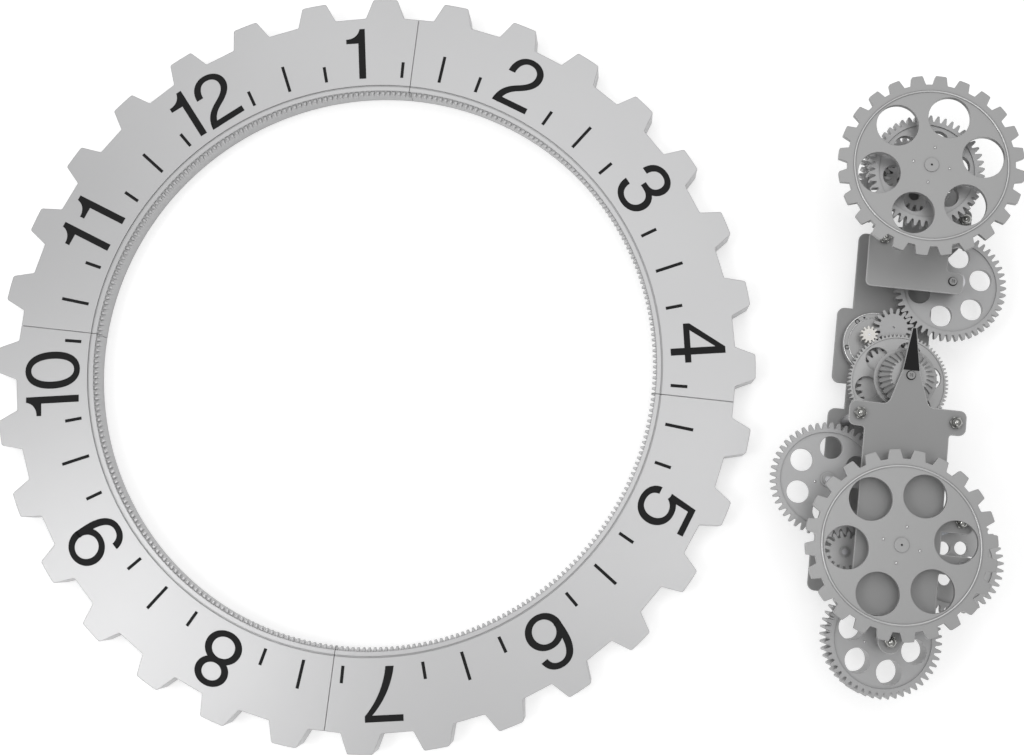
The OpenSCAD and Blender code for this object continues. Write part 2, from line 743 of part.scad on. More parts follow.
// Upper train
pinion_cap = 1.2;
dimple_r = 0.7;
module capped_pinion(p, n, phase, z) {
    difference() {
        gear(p, n, gear_m, phase, z, gear_t);
        at_move(p, z - cut) cylinder(h = gear_t - pinion_cap + cut, r = stud_r + run_gap);
        bore(p, z, z + gear_t, dimple_r);
    }
}
upper_hole_turn = 17.6;
stud_foot_r = 6;
stud_foot_t = 8;
head_r = 3.6;
head_t = 1.2;
module upper_pinion() {
    color("gainsboro")
        capped_pinion(upper_pinion_at, small_teeth, upper_pinion_phase, low_z);
}
module upper_gear() {
    color("silver") webbed_gear(upper_gear_at, upper_phase, low_z, gear_t, low_z,
        bridge_z - stud_foot_t - side_gap, upper_hole_turn, stud_r);
}
module upper_gear_stud() {
    color("silver") difference() {
        union() {
            post(upper_gear_at, bridge_z - stud_foot_t, bridge_z, stud_foot_r);
            post(upper_gear_at, low_z - fit_gap - head_t, bridge_z - stud_foot_t, stud_r);
            post(upper_gear_at, low_z - fit_gap - head_t, low_z - fit_gap, head_r);
        }
        at_move(upper_screw_at, bridge_z - screw_l)
            cylinder(h = screw_l + cut, r = screw_r + run_gap);
    }
}
module short_studs() {
    high = side_gap + gear_t - pinion_cap - fit_gap;
    color("silver") for (s = [[upper_pinion_at, motor_top], [idle_at, bridge_top]]) {
        post(s[0], s[1], s[1] + high, stud_r);
        post(s[0], s[1] - cover_t, s[1], spigot_r);
    }
}
top_hole_turn = 14.3;
module top_arbor() {
    color("silver") post(top_at, low_z - side_gap, depth - slot_d, arbor_r);
}
module top_rear_gear() {
    color("silver") webbed_gear(top_at, top_rear_phase, low_z, gear_t, low_z,
        bridge_z - bush_rim_t - side_gap, top_hole_turn, arbor_r);
}
middle_hole_r = 3.6;
middle_hole_c = 12.5;
module top_middle_gear() {
    color("silver") difference() {
        union() {
            gear(top_at, middle_teeth, gear_m, 0, middle_gear_z, gear_t);
            post(top_at, middle_gear_z, front_gear_z, hub_r);
        }
        bore(top_at, middle_gear_z, front_gear_z, arbor_r + run_gap);
        six_holes(top_at, middle_gear_z, middle_gear_z + gear_t, middle_hole_r,
            middle_hole_c, top_hole_turn);
    }
}
module top_front_gear() {
    color("silver") webbed_gear(top_at, 0, front_gear_z, front_gear_t, front_gear_z,
        front_gear_z + front_gear_t, top_hole_turn, arbor_r);
}
module top_idler_pinion() {
    color("silver") capped_pinion(idle_at, idle_teeth, idle_phase, bridge_top + side_gap);
}

// Display wheels
show_foot_r = 55;
show_tip_w = 7.2;
show_foot_w = 9.8;
show_tip_round = 0.9;
show_foot_round = 0.4;
bead_r = 50.3;
bead_w = 1;
bead_h = 0.5;
show_hole_r = 13.9;
show_hole_c = 34.6;
cap_r = 4.7;
cap_rise = 0.7;
pip_r = 0.8;
pip_c = 12;
pip_h = 0.3;
pip_turn = -21;
back_hub_r = 9;
module display_wheel(p, phase, turn, z0) {
    face = depth - cap_rise;
    difference() {
        union() {
            at_move(p, face - show_t) linear_extrude(show_t)
                polygon(block_points(show_teeth, show_r, show_foot_r, show_tip_w,
                    show_foot_w, show_tip_round, show_foot_round, 0, phase));
            at_move(p, face) difference() {
                cylinder(h = bead_h, r = bead_r + bead_w / 2);
                translate([0, 0, -cut]) cylinder(h = bead_h + 2 * cut, r = bead_r - bead_w / 2);
            }
            post(p, face, depth, cap_r);
            post(p, z0, face, back_hub_r);
            for (k = [0:3])
                post(p + polar(pip_c, turn + pip_turn + 90 * k), face, face + pip_h, pip_r);
        }
        six_holes(p, face - show_t, depth, show_hole_r, show_hole_c, turn);
        at_move(p, z0 - cut) cylinder(h = depth - slot_d - z0 + cut, r = arbor_r + run_gap);
        bore(p, z0, depth, dimple_r);
    }
}
lower_hole_turn = 8.8;
module top_display_wheel() {
    color("silver") display_wheel(top_at, top_show_phase, top_hole_turn,
        front_gear_z + front_gear_t);
}
module lower_display_wheel() {
    color("silver") display_wheel([0, 0], show_phase, lower_hole_turn, pointer_top + side_gap
        + plate_t - front_plate_t);
}
module arbor_bushes() {
    color("goldenrod") for (s = [[[0, 0], middle_z], [[0, 0], pointer_z], [top_at, bridge_z]])
        difference() {
            union() {
                post(s[0], s[1] - bush_rim_t, s[1], bush_rim_r);
                post(s[0], s[1], s[1] + plate_t, bush_r);
            }
            bore(s[0], s[1] - bush_rim_t, s[1] + plate_t, arbor_r + run_gap);
        }
}

// Left train, on three studs of one kind
sleeve_r = 3.2;
lower_left_hole_turn = 28.3;
stud_top = mid_top + fit_gap + clip_t + fit_gap;
module gear_studs() {
    color("silver") for (p = stud_places) {
        post(p, middle_z + run_gap, deck_z, spigot_r);
        post(p, deck_z, deck_z + foot_t, foot_r);
        post(p, deck_z, stud_top, stud_r);
    }
}
module stud_clips() {
    color("dimgray") for (p = stud_places) difference() {
        post(p, mid_top + fit_gap, mid_top + fit_gap + clip_t, clip_r);
        bore(p, mid_top, stud_top, stud_r);
    }
}
module idler_pinion() {
    color("silver") difference() {
        union() {
            gear(idler_at, small_teeth, gear_m, idler_low_phase, low_z, gear_t);
            gear(idler_at, small_teeth, gear_m, idler_high_phase, mid_z, gear_t);
            post(idler_at, deck_z + foot_t + fit_gap, mid_top, sleeve_r);
        }
        bore(idler_at, deck_z, stud_top, stud_r + run_gap);
    }
}
module lower_left_gear() {
    color("silver") webbed_gear(lower_left_at, lower_left_phase, mid_z, gear_t,
        deck_z + foot_t + fit_gap, mid_top, lower_left_hole_turn, stud_r);
}
module left_pinion() {
    color("silver") difference() {
        union() {
            gear(left_at, small_teeth, gear_m, left_phase, mid_z, gear_t);
            post(left_at, deck_z + foot_t + fit_gap, mid_top, hub_r);
        }
        bore(left_at, deck_z, stud_top, stud_r + run_gap);
    }
}

// Lower arbor and what it drives
arm_lift = 2.5;
arm_z = high_top + arm_lift;
arm_top = arm_z + front_plate_t;
module lower_arbor() {
    color("silver") post([0, 0], middle_z - plate_t, depth - slot_d, arbor_r);
}
module lower_arbor_gears() {
    color("silver") difference() {
        union() {
            post([0, 0], deck_z + side_gap, arm_z - side_gap, hub_r);
            gear([0, 0], lower_teeth, gear_m, lower_phase, mid_z, gear_t);
            gear([0, 0], centre_teeth, gear_m, centre_phase, high_z - side_gap,
                gear_t + side_gap);
        }
        bore([0, 0], deck_z, arm_z, arbor_r + run_gap);
    }
}
right_rim_r = 26;
right_hole_r = 4.4;
right_hole_c = 11.5;
right_hole_turn = 6.5;
module right_gear() {
    color("silver") difference() {
        union() {
            difference() {
                gear(right_at, right_teeth, gear_m, right_phase, high_z, gear_t);
                sunk_web(right_at, high_top, web_drop, right_rim_r, hub_r);
                six_holes(right_at, high_z, high_top, right_hole_r, right_hole_c,
                    right_hole_turn);
            }
            post(right_at, high_z, pointer_z - foot_t - fit_gap, hub_r);
        }
        bore(right_at, high_z, pointer_z, stud_r + run_gap);
    }
}
module right_gear_stud() {
    color("silver") {
        post(right_at, pointer_z, pointer_top - run_gap, spigot_r);
        post(right_at, pointer_z - foot_t, pointer_z, foot_r);
        post(right_at, high_z - fit_gap - head_t, pointer_z, stud_r);
        post(right_at, high_z - fit_gap - head_t, high_z - fit_gap, head_r);
    }
}
bottom_hole_r = 8.3;
bottom_hole_turn = 45.3;
bottom_wall = 1.5;
bottom_web = 3;
module bottom_gear() {
    z = high_top - bottom_gear_t;
    color("silver") difference() {
        union() {
            difference() {
                gear(bottom_at, upper_teeth, gear_m, bottom_phase, z, bottom_gear_t);
                sunk_web(bottom_at, high_top, web_drop, web_rim_r, hub_r);
                at_move(bottom_at, z - cut) difference() {
                    cylinder(h = bottom_gear_t - bottom_web + cut, r = web_rim_r);
                    cylinder(h = bottom_gear_t + cut, r = hub_r);
                    for (k = [0:5]) rotate(bottom_hole_turn + 60 * k)
                        translate([web_hole_c, 0, 0])
                            cylinder(h = bottom_gear_t + cut, r = bottom_hole_r + bottom_wall);
                }
                six_holes(bottom_at, z, high_top, bottom_hole_r, web_hole_c, bottom_hole_turn);
            }
            post(bottom_at, z, pointer_z - side_gap, hub_r);
        }
        bore(bottom_at, z, pointer_z, arbor_r + run_gap);
    }
}
module bottom_pillar() {
    color("silver") {
        post(bottom_at, middle_z + run_gap, deck_z, m4_r);
        post(bottom_at, deck_z, high_top - bottom_gear_t - side_gap, foot_r);
        post(bottom_at, deck_z, pointer_z, arbor_r);
        post(bottom_at, pointer_z, pointer_top + nut_hold, m4_r);
    }
}
// Arm that steadies the lower arbor, hung on its own pillar
module side_pillar() {
    color("silver") {
        post(side_nut, arm_z + run_gap, arm_top, m4_r);
        post(side_nut, arm_top, pointer_z, pillar_r);
        post(side_nut, pointer_z, pointer_top + nut_hold, m4_r);
    }
}
module bearing_arm() {
    color("silver") difference() {
        at_move([0, 0], arm_z) linear_extrude(front_plate_t) union() {
            circle(neck_half);
            translate(side_nut) circle(arm_w / 2);
            rotate(atan2(side_nut.y, side_nut.x)) translate([0, -arm_w / 2])
                square([norm(side_nut), arm_w]);
        }
        bore([0, 0], arm_z, arm_top, arbor_r + run_gap);
        bore(side_nut, arm_z, arm_top, m4_r + run_gap);
    }
}

// Motor: a round case with the stepper inside
case_wall = 1.2;
case_floor = 1;
cover_t = 1;
cover_z = motor_top - cover_t;
ring_line_r = 17.5;
ring_line_w = 0.6;
rim_line_r = 20.9;
line_d = 0.4;
motor_screw_r = 0.9;
motor_screw_c = 19.2;
motor_screw_turns = [132.5, 194, 313];
motor_head_r = 1.6;
motor_head_t = 0.6;
boss_wall = 1.3;
fine_gear_m = 0.4;
rotor_teeth = 10;
wheel_teeth = 30;
rotor_turn = -60;
rotor_at = motor_out_at + polar((rotor_teeth + wheel_teeth) * fine_gear_m / 2, rotor_turn);
rotor_phase = mesh(motor_out_at, wheel_teeth, 0, rotor_at, rotor_teeth);
motor_arbor_r = 1;
pivot_r = 0.5;
module at_motor_screws(z) {
    for (a = motor_screw_turns) at_move(motor_at + polar(motor_screw_c, a), z) children();
}
module motor_case() {
    color("gainsboro") difference() {
        post(motor_at, deck_z, cover_z, motor_r);
        difference() {
            at_move(motor_at, deck_z + case_floor)
                cylinder(h = motor_h, r = motor_r - case_wall);
            at_motor_screws(deck_z) cylinder(h = motor_h, r = motor_screw_r + boss_wall);
        }
        at_motor_screws(deck_z + case_floor) cylinder(h = motor_h, r = motor_screw_r + run_gap);
    }
}
module motor_cover() {
    color("gainsboro") difference() {
        post(motor_at, cover_z, motor_top, motor_r);
        at_move(motor_at, motor_top - line_d) {
            difference() {
                cylinder(h = cut, r = ring_line_r + ring_line_w);
                cylinder(h = cut, r = ring_line_r);
            }
            difference() {
                cylinder(h = cut, r = motor_r + cut);
                cylinder(h = cut, r = rim_line_r);
            }
        }
        at_motor_screws(cover_z - cut) cylinder(h = motor_h, r = motor_screw_r + run_gap);
        at_motor_screws(motor_top - motor_head_t)
            cylinder(h = motor_h, r = motor_head_r + run_gap);
        bore(motor_out_at, cover_z, motor_top, motor_arbor_r + run_gap);
        bore(upper_pinion_at, cover_z, motor_top, spigot_r + run_gap);
    }
}
module motor_screws() {
    long = motor_h - case_floor - cover_t - fit_gap;
    color("dimgray") {
        at_motor_screws(motor_top - motor_head_t) cylinder(h = motor_head_t - run_gap,
            r = motor_head_r);
        at_motor_screws(motor_top - motor_head_t - long + cover_t) cylinder(h = long - cover_t,
            r = motor_screw_r);
    }
}
board_at = [-15, -12];
board_w = 6.4;
board_t = 0.8;
module motor_board() {
    color("seagreen") at_move(motor_at + board_at, deck_z + case_floor)
        cube([board_w, board_w, board_t]);
}
coil_at = [11, -9];
coil_l = 12;
coil_r = 2.4;
module motor_coil() {
    color("peru") at_move(motor_at + coil_at, deck_z + case_floor + coil_r)
        rotate([-90, 0, 0]) cylinder(h = coil_l, r = coil_r);
}
stator_r = 6;
stator_t = 1.2;
magnet_r = 2.6;
stator_arm = 2.4;
module motor_stator() {
    coil_low = motor_at + coil_at - [0, stator_arm];
    coil_high = motor_at + coil_at + [0, coil_l];
    wide = coil_low.x + coil_r - rotor_at.x;
    color("gray") at_move([0, 0], deck_z + case_floor) difference() {
        linear_extrude(stator_t) union() {
            translate(rotor_at) circle(stator_r);
            for (p = [coil_low, coil_high]) translate([rotor_at.x, p.y])
                square([wide, stator_arm]);
            translate([rotor_at.x - stator_arm, coil_low.y])
                square([2 * stator_arm, coil_high.y - coil_low.y + stator_arm]);
        }
        translate([rotor_at.x, rotor_at.y, -cut])
            cylinder(h = stator_t + 2 * cut, r = magnet_r + fit_gap);
    }
}
magnet_t = 2;
module motor_rotor() {
    z = deck_z + case_floor;
    color("dimgray") {
        post(rotor_at, z + run_gap, cover_z - run_gap, pivot_r);
        post(rotor_at, z + fit_gap, z + fit_gap + magnet_t, magnet_r);
        gear(rotor_at, rotor_teeth, fine_gear_m, rotor_phase, z + magnet_t + magnet_r / 2,
            magnet_t);
    }
}
module motor_arbor() {
    color("silver") post(motor_out_at, deck_z + case_floor + run_gap,
        drive_top + side_gap, motor_arbor_r);
}
module motor_wheel() {
    z = deck_z + case_floor + magnet_t + magnet_r / 2;
    color("ivory") difference() {
        gear(motor_out_at, wheel_teeth, fine_gear_m, 0, z + fit_gap, magnet_t - 2 * fit_gap);
        bore(motor_out_at, z, z + magnet_t, motor_arbor_r);
    }
}
module motor_pinion() {
    color("white") difference() {
        gear(motor_out_at, motor_teeth, drive_m, motor_out_phase, drive_z, drive_t + side_gap);
        bore(motor_out_at, drive_z, drive_top + side_gap, motor_arbor_r);
    }
}

// Battery box between the plates, open to the rear
contact_t = 0.5;
contact_w = 10;
nub_r = 2.7;
nub_h = 1.2;
cell_z = plate_t + fit_gap + cell_d / 2;
module battery_box() {
    w = box_in_w + 2 * box_wall;
    l = box_in_l + 2 * box_wall;
    color("darkslategray") at_move(box_at, plate_t) difference() {
        translate([-w / 2, -l / 2, 0]) cube([w, l, rear_space]);
        translate([-box_in_w / 2, -box_in_l / 2, -cut])
            cube([box_in_w, box_in_l, rear_space - side_gap - fit_gap + cut]);
    }
}
module battery_cover() {
    w = box_in_w + 2 * window_ledge - 2 * fit_gap;
    l = box_in_l + 2 * window_ledge - 2 * fit_gap;
    color("darkslategray") at_move(box_at, fit_gap) difference() {
        translate([-w / 2, -l / 2, 0]) cube([w, l, plate_t - fit_gap]);
        translate([0, -l / 2 + plate_t, -cut])
            cylinder(h = cut + plate_t / 2 - fit_gap, r = nub_r);
    }
}
module battery_cell() {
    color("tan") at_move(box_at, cell_z) rotate([-90, 0, 0]) {
        translate([0, 0, -cell_l / 2]) cylinder(h = cell_l - nub_h, r = cell_d / 2);
        translate([0, 0, cell_l / 2 - nub_h]) cylinder(h = nub_h, r = nub_r);
    }
}
module battery_contacts() {
    color("silver") for (s = [-1, 1])
        at_move(box_at + [-contact_w / 2, s * (box_in_l - contact_t) / 2 - contact_t / 2],
            cell_z - contact_w / 2) cube([contact_w, contact_t, contact_w]);
    color("silver") at_move(box_at + [0, -box_in_l / 2 + contact_t], cell_z)
        rotate([-90, 0, 0]) cylinder(h = cell_play - contact_t, r = nub_r);
}

ring_segment_1();
ring_segment_2();
ring_segment_3();
ring_segment_4();
ring_joint_plates();
ring_joint_screws();
rear_plate();
middle_plate();
plate_spacers();
bridge_plate();
bridge_pillars();
pointer_plate();
pointer_pillars();
pointer();
acorn_nuts();
pan_screws();
drive_axle();
drive_wheel();
transfer_gear();
ring_pinion();
upper_pinion();
upper_gear();
upper_gear_stud();
short_studs();
top_arbor();
top_rear_gear();
top_middle_gear();
top_front_gear();
top_display_wheel();
top_idler_pinion();
arbor_bushes();
idler_pinion();
gear_studs();
stud_clips();
lower_left_gear();
left_pinion();
lower_arbor();
lower_arbor_gears();
lower_display_wheel();
right_gear();
right_gear_stud();
bottom_gear();
bottom_pillar();
side_pillar();
bearing_arm();
motor_case();
motor_cover();
motor_screws();
motor_board();
motor_coil();
motor_stator();
motor_rotor();
motor_arbor();
motor_wheel();
motor_pinion();
battery_box();
battery_cover();
battery_cell();
battery_contacts();
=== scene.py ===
import bpy
import json
import math
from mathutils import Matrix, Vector


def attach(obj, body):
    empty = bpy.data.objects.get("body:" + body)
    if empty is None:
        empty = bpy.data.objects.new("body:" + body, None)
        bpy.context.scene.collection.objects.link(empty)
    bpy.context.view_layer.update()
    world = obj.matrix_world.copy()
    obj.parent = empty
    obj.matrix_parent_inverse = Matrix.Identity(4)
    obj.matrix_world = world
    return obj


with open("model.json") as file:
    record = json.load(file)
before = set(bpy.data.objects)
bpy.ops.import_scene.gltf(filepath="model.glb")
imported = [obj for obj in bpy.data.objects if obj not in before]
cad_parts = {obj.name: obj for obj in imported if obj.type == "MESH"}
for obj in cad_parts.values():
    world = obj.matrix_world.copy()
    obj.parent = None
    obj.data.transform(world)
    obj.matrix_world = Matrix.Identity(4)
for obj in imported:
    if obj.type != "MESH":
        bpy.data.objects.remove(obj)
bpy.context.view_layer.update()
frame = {"nodes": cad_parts, "record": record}
nodes = frame["nodes"]
mm = 0.001
bpy.ops.object.select_all(action="DESELECT")
print("gear clock: frame loaded,", len(nodes), "nodes")

# where the ring and the movement lie, in mm and degrees
layout = {
    "ringX": -86.237,          # ring's centre, on y = 0
    "ringFace": 20.0,          # height of the ring's face
    "twelve": 122.97,          # where 12 o'clock lies, round the ring's centre
    "moveX": 266.563,          # movement's lower axis
    "moveY": -128.2,
    "moveTurn": -6.32,         # clockwise from upright
}


def ringCentre(z):
    return Vector((layout["ringX"] * mm, 0, z * mm))


def movePoint(x, y, z):         # from the movement's own plan to the scene
    a = math.radians(layout["moveTurn"])
    return Vector(((layout["moveX"] + x * math.cos(a) - y * math.sin(a)) * mm,
                   (layout["moveY"] + x * math.sin(a) + y * math.cos(a)) * mm, z * mm))


# camera, floor and light
studio = {
    "lens": 45.703,
    "sensor": 36,
    "clip": (0.01, 20),        # metres
    "shift": (-0.0626, 0.0064),
    "place": (0.08607, -0.13290, 0.92679),
    "tilt": (7.380, 1.796, 0.0),
    "floorSize": 40.0,         # metres
    "floorDrop": 0.4,          # mm under the part
    "floorColour": (0.85, 0.85, 0.85, 1),
    "floorRough": 0.9,
    "floorShine": 0.1,
    "floorWhite": 0.25,        # share of glow in what the camera sees of the floor
    "floorGlow": 2.15,
    "skySteps": ((0.0, 0.50), (0.25, 0.40), (0.5, 0.45), (0.8, 0.62)),    # height, grey
    "skyStrength": 1.0,
}
softboxes = {                  # width and height in metres, power, place, aim
    "topSoftbox": ((1.7, 1.55), 9.6, (0.22, 0.64, 2.0), (0.1, 0.3, 0.0)),
    "backSoftbox": ((0.5, 0.5), 1.2, (-0.75, 1.08, 2.0), (-0.2, 0.2, 0.0)),
    "leftSpot": ((0.7, 0.62), 8.0, (-1.06, -0.33, 2.0), (-0.29, -0.17, 0.0)),
    "rightSpot": ((0.35, 0.35), 1.4, (0.26, -0.2, 2.0), (0.155, -0.1, 0.0)),
    "lowSoftbox": ((1.2, 0.4), 2.5, (0.3, -1.6, 0.8), (0.1, 0.0, 0.0)),
}


def makeCamera():
    bpy.ops.object.camera_add(location=studio["place"],
                              rotation=[math.radians(a) for a in studio["tilt"]])
    camera = bpy.context.object
    camera.name = "photoCamera"
    camera.data.lens = studio["lens"]
    camera.data.sensor_width = studio["sensor"]
    camera.data.shift_x, camera.data.shift_y = studio["shift"]
    camera.data.clip_start, camera.data.clip_end = studio["clip"]
    bpy.context.scene.camera = camera


def makeFloor():
    bpy.ops.mesh.primitive_plane_add(size=studio["floorSize"],
                                     location=(0, 0, -studio["floorDrop"] * mm))
    floor = bpy.context.object
    floor.name = "studioFloor"
    paper = bpy.data.materials.new("paleFloor")
    paper.use_nodes = True
    tree = paper.node_tree
    shader = tree.nodes["Principled BSDF"]
    shader.inputs["Base Color"].default_value = studio["floorColour"]
    shader.inputs["Roughness"].default_value = studio["floorRough"]
    shader.inputs["Specular IOR Level"].default_value = studio["floorShine"]
    glow = tree.nodes.new("ShaderNodeEmission")
    glow.inputs["Strength"].default_value = studio["floorGlow"]
    path = tree.nodes.new("ShaderNodeLightPath")
    sees = tree.nodes.new("ShaderNodeMath")
    sees.operation = "MAXIMUM"
    through = tree.nodes.new("ShaderNodeMath")
    through.operation = "MAXIMUM"
    share = tree.nodes.new("ShaderNodeMath")
    share.operation = "MULTIPLY"
    share.inputs[1].default_value = studio["floorWhite"]
    blend = tree.nodes.new("ShaderNodeMixShader")
    link = tree.links.new
    link(path.outputs["Is Camera Ray"], sees.inputs[0])
    link(path.outputs["Is Glossy Ray"], sees.inputs[1])
    link(sees.outputs[0], through.inputs[0])
    link(path.outputs["Is Transmission Ray"], through.inputs[1])
    link(through.outputs[0], share.inputs[0])
    link(share.outputs[0], blend.inputs["Fac"])
    link(shader.outputs["BSDF"], blend.inputs[1])
    link(glow.outputs["Emission"], blend.inputs[2])
    link(blend.outputs["Shader"], tree.nodes["Material Output"].inputs["Surface"])
    floor.data.materials.append(paper)


def makeLight():
    for name, (size, power, place, aim) in softboxes.items():
        bpy.ops.object.light_add(type="AREA", location=place)
        lamp = bpy.context.object
        lamp.name = name
        lamp.data.shape = "RECTANGLE"
        lamp.data.size, lamp.data.size_y = size
        lamp.data.energy = power
        lamp.rotation_euler = (Vector(aim) - Vector(place)).to_track_quat("-Z", "Y").to_euler()
    world = bpy.data.worlds.new("studioSky")
    bpy.context.scene.world = world
    world.use_nodes = True
    sky = world.node_tree.nodes["Background"]
    sky.inputs["Strength"].default_value = studio["skyStrength"]
    way = world.node_tree.nodes.new("ShaderNodeTexCoord")
    split = world.node_tree.nodes.new("ShaderNodeSeparateXYZ")
    ramp = world.node_tree.nodes.new("ShaderNodeValToRGB")      # grey from the horizon up
    steps = ramp.color_ramp.elements
    while len(steps) < len(studio["skySteps"]):
        steps.new(0.5)             # in the middle, and moved to its height below
    for step, (height, grey) in zip(steps, studio["skySteps"]):
        step.position = height
        step.color = (grey, grey, grey, 1)
    world.node_tree.links.new(way.outputs["Generated"], split.inputs[0])
    world.node_tree.links.new(split.outputs["Z"], ramp.inputs["Fac"])
    world.node_tree.links.new(ramp.outputs["Color"], sky.inputs["Color"])
    bpy.context.scene.view_settings.view_transform = "Standard"


makeCamera()
makeFloor()
makeLight()
print("gear clock: camera, floor and lights are in")


# finishes: colour is sRGB from 0 to 1, and sizes are in mm
# edgeLight is how much paler a finish is painted along its rounded edges, a painted highlight
finishes = {
    "ringSilver": {"colour": (0.735, 0.735, 0.738), "metal": 0.35, "rough": 0.36, "coat": 0.10,
                   "cloud": 0.025, "cloudSize": 120, "grain": 0.10, "grainSize": 0.35,
                   "edge": 0.8},
    "gearSilver": {"colour": (0.635, 0.635, 0.637), "metal": 0.30, "rough": 0.36, "coat": 0.10,
                   "cloud": 0.03, "cloudSize": 40, "grain": 0.10, "grainSize": 0.3, "edge": 0.35,
                   "edgeLight": 0.15},
    "wheelSilver": {"colour": (0.605, 0.605, 0.605), "metal": 0.30, "rough": 0.34, "coat": 0.10,
                    "cloud": 0.02, "cloudSize": 60, "grain": 0.08, "grainSize": 0.3, "edge": 0.5,
                    "edgeLight": 0.15},
    "platePaint": {"colour": (0.590, 0.590, 0.590), "metal": 0.15, "rough": 0.45, "coat": 0.10,
                   "cloud": 0.02, "cloudSize": 50, "grain": 0.12, "grainSize": 0.25, "edge": 1.2,
                   "edgeLight": 0.6},
    "rearPaint": {"colour": (0.575, 0.575, 0.575), "metal": 0.15, "rough": 0.50, "coat": 0.05,
                  "cloud": 0.03, "cloudSize": 50, "grain": 0.12, "grainSize": 0.25, "edge": 1.2,
                  "edgeLight": 0.4},
    "blackPaint": {"colour": (0.085, 0.085, 0.088), "metal": 0.0, "rough": 0.6, "coat": 0.0,
                   "cloud": 0.02, "cloudSize": 20, "grain": 0.08, "grainSize": 0.2, "edge": 0.05,
                   "shine": 0.2},
    "pointerPaint": {"colour": (0.552, 0.552, 0.552), "metal": 0.15, "rough": 0.45, "coat": 0.10,
                     "cloud": 0.02, "cloudSize": 50, "grain": 0.12, "grainSize": 0.25,
                     "edge": 1.2, "edgeLight": 0.6},
    # paler silver for the gears deep in the movement: painted light that stands in for the light
    # reaching them
    "deepLitSilver": {"colour": (0.720, 0.720, 0.720), "metal": 0.20, "rough": 0.40, "coat": 0.10,
                   "cloud": 0.03, "cloudSize": 30, "grain": 0.10, "grainSize": 0.3, "edge": 0.3},
    "pinionSilver": {"colour": (0.610, 0.610, 0.610), "metal": 0.35, "rough": 0.34, "coat": 0.0,
                     "cloud": 0.03, "cloudSize": 20, "grain": 0.06, "grainSize": 0.3, "edge": 0.3},
    "driveSilver": {"colour": (0.665, 0.665, 0.665), "metal": 0.30, "rough": 0.36, "coat": 0.10,
                    "cloud": 0.03, "cloudSize": 40, "grain": 0.10, "grainSize": 0.3, "edge": 0.35},
    "steel": {"colour": (0.70, 0.70, 0.71), "metal": 1.0, "rough": 0.30, "coat": 0.0,
              "cloud": 0.04, "cloudSize": 8, "grain": 0.05, "grainSize": 0.2, "edge": 0.15},
    "zinc": {"colour": (0.74, 0.75, 0.77), "metal": 1.0, "rough": 0.38, "coat": 0.0,
             "cloud": 0.08, "cloudSize": 6, "grain": 0.08, "grainSize": 0.4, "edge": 0.2},
    "screwSteel": {"colour": (0.22, 0.22, 0.22), "metal": 1.0, "rough": 0.38, "coat": 0.0,
                   "cloud": 0.05, "cloudSize": 4, "grain": 0.04, "grainSize": 0.15, "edge": 0.12},
    "panSteel": {"colour": (0.50, 0.50, 0.50), "metal": 0.8, "rough": 0.35, "coat": 0.0,
                 "cloud": 0.05, "cloudSize": 4, "grain": 0.04, "grainSize": 0.15, "edge": 0.15},
    "rimBright": {"colour": (0.82, 0.82, 0.82), "metal": 0.8, "rough": 0.24, "coat": 0.0,
                  "cloud": 0.02, "cloudSize": 10, "grain": 0.03, "grainSize": 0.3, "edge": 0.1},
    "chrome": {"colour": (0.62, 0.62, 0.61), "metal": 1.0, "rough": 0.08, "coat": 0.0,
               "cloud": 0.02, "cloudSize": 4, "grain": 0.01, "grainSize": 0.3, "edge": 0.15},
    "brass": {"colour": (0.80, 0.66, 0.38), "metal": 1.0, "rough": 0.28, "coat": 0.0,
              "cloud": 0.05, "cloudSize": 5, "grain": 0.05, "grainSize": 0.2, "edge": 0.15},
    "bead": {"colour": (0.70, 0.70, 0.70), "metal": 0.7, "rough": 0.30, "coat": 0.0,
             "cloud": 0.02, "cloudSize": 10, "grain": 0.03, "grainSize": 0.3, "edge": 0.1},
    "motorShell": {"colour": (0.600, 0.600, 0.600), "metal": 0.3, "rough": 0.32, "coat": 0.15,
                   "cloud": 0.02, "cloudSize": 20, "grain": 0.06, "grainSize": 0.3, "edge": 0.3},
    "whitePlastic": {"colour": (0.90, 0.89, 0.87), "metal": 0.0, "rough": 0.35, "coat": 0.15,
                     "cloud": 0.02, "cloudSize": 10, "grain": 0.04, "grainSize": 0.3,
                     "edge": 0.12},
    "board": {"colour": (0.20, 0.34, 0.22), "metal": 0.0, "rough": 0.40, "coat": 0.30,
              "cloud": 0.06, "cloudSize": 6, "grain": 0.10, "grainSize": 0.6, "edge": 0.1},
    "copper": {"colour": (0.78, 0.42, 0.26), "metal": 1.0, "rough": 0.30, "coat": 0.20,
               "cloud": 0.06, "cloudSize": 3, "grain": 0.15, "grainSize": 0.15, "edge": 0.1},
    "iron": {"colour": (0.42, 0.42, 0.43), "metal": 1.0, "rough": 0.45, "coat": 0.0,
             "cloud": 0.08, "cloudSize": 5, "grain": 0.10, "grainSize": 0.3, "edge": 0.15},
    "boxPlastic": {"colour": (0.30, 0.30, 0.31), "metal": 0.0, "rough": 0.50, "coat": 0.05,
                   "cloud": 0.03, "cloudSize": 20, "grain": 0.15, "grainSize": 0.5, "edge": 0.3},
    "cellCan": {"colour": (0.34, 0.42, 0.52), "metal": 0.3, "rough": 0.30, "coat": 0.30,
                "cloud": 0.02, "cloudSize": 20, "grain": 0.03, "grainSize": 0.3, "edge": 0.2},
    "contact": {"colour": (0.78, 0.76, 0.70), "metal": 1.0, "rough": 0.25, "coat": 0.0,
                "cloud": 0.05, "cloudSize": 4, "grain": 0.04, "grainSize": 0.2, "edge": 0.1},
}
